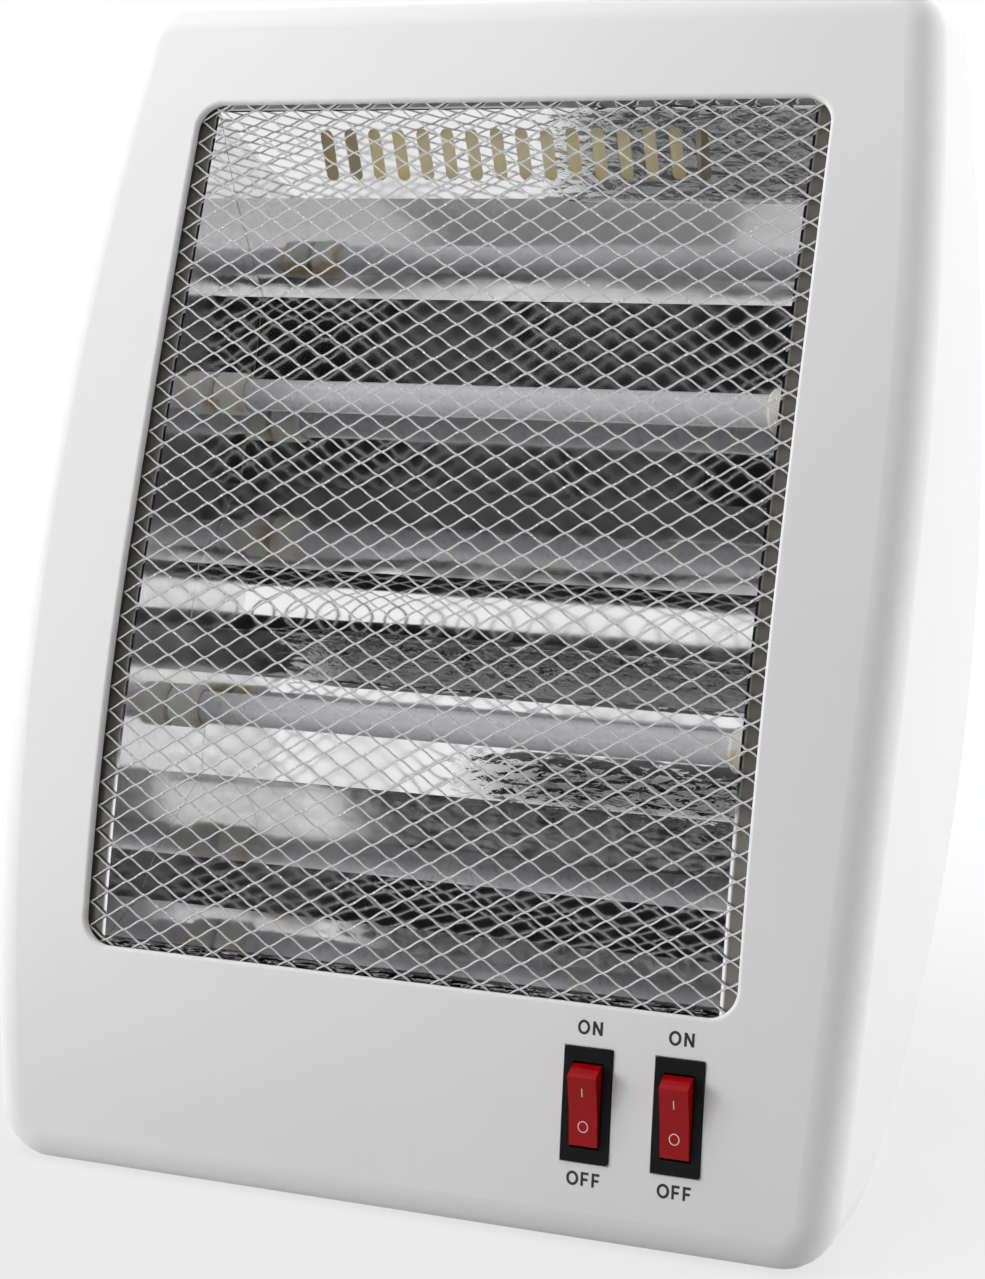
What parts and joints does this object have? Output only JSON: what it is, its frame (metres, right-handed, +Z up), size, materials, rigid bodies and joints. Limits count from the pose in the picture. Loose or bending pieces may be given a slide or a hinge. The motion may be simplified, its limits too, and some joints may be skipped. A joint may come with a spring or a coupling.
{
  "type": "electric radiant heater",
  "caption": "Free-standing electric radiant heater: curved white shell, wire guard, folded bright reflector, quartz tubes and red rocker switches.",
  "frame": {"origin": "on the floor, under the middle of the body", "axes": "+Z up, the front towards -Y, the switches to +X"},
  "size_m": [0.268, 0.1322, 0.335],
  "materials": {
    "shell_white": "satin",
    "net_steel": "bright",
    "bright_aluminium": "polished",
    "frosted_quartz": "frosted",
    "white_ceramic": "matt",
    "resistance_wire": "matt",
    "zinc_steel": "zinc plated",
    "brass_tab": "plain",
    "switch_black": "gloss",
    "rocker_red": "gloss",
    "black_nylon": "matt",
    "foot_rubber": "matt",
    "spring_steel": "bright"
  },
  "bodies": {
    "heater": {"front_cover": "shell_white", "rear_cover": "shell_white", "guard_net": "net_steel", "reflector": "bright_aluminium", "reflector_side_left": "bright_aluminium", "reflector_side_right": "bright_aluminium", "quartz_tube_upper": "frosted_quartz", "quartz_tube_lower": "frosted_quartz", "heating_coil_upper": "resistance_wire", "heating_coil_lower": "resistance_wire", "tube_socket_upper_left": "white_ceramic", "tube_socket_upper_right": "white_ceramic", "tube_socket_lower_left": "white_ceramic", "tube_socket_lower_right": "white_ceramic", "terminal_studs": "zinc_steel", "terminal_nuts": "zinc_steel", "switch_housing_left": "switch_black", "switch_housing_right": "switch_black", "switch_terminals_left": "brass_tab", "switch_terminals_right": "brass_tab", "tip_switch_housing": "black_nylon", "tip_switch_spring": "spring_steel", "tip_switch_terminals": "brass_tab", "cord_gland": "black_nylon", "foot_front_left": "foot_rubber", "foot_front_right": "foot_rubber", "foot_rear_left": "foot_rubber", "foot_rear_right": "foot_rubber", "cover_screws": "zinc_steel", "flange_screws": "zinc_steel"},
    "rocker_left": {"rocker_left": "rocker_red"},
    "rocker_right": {"rocker_right": "rocker_red"},
    "tip_plunger": {"tip_switch_plunger": "black_nylon"}
  },
  "joints": [
    {"name": "rocker_left_tilt", "type": "hinge", "parent": "heater", "child": "rocker_left", "pos_m": [0.0584, -0.05964, 0.03863], "axis": [-1, 0, 0], "range_deg": [0, 24]},
    {"name": "rocker_right_tilt", "type": "hinge", "parent": "heater", "child": "rocker_right", "pos_m": [0.084, -0.05964, 0.03863], "axis": [-1, 0, 0], "range_deg": [0, 24]},
    {"name": "tip_plunger_slide", "type": "slide", "parent": "heater", "child": "tip_plunger", "axis": [0, 0, -1], "range_m": [0, 0.006], "stiffness_N_per_m": 150, "springref_m": 0.012, "deforming": ["tip_switch_spring"]}
  ]
}
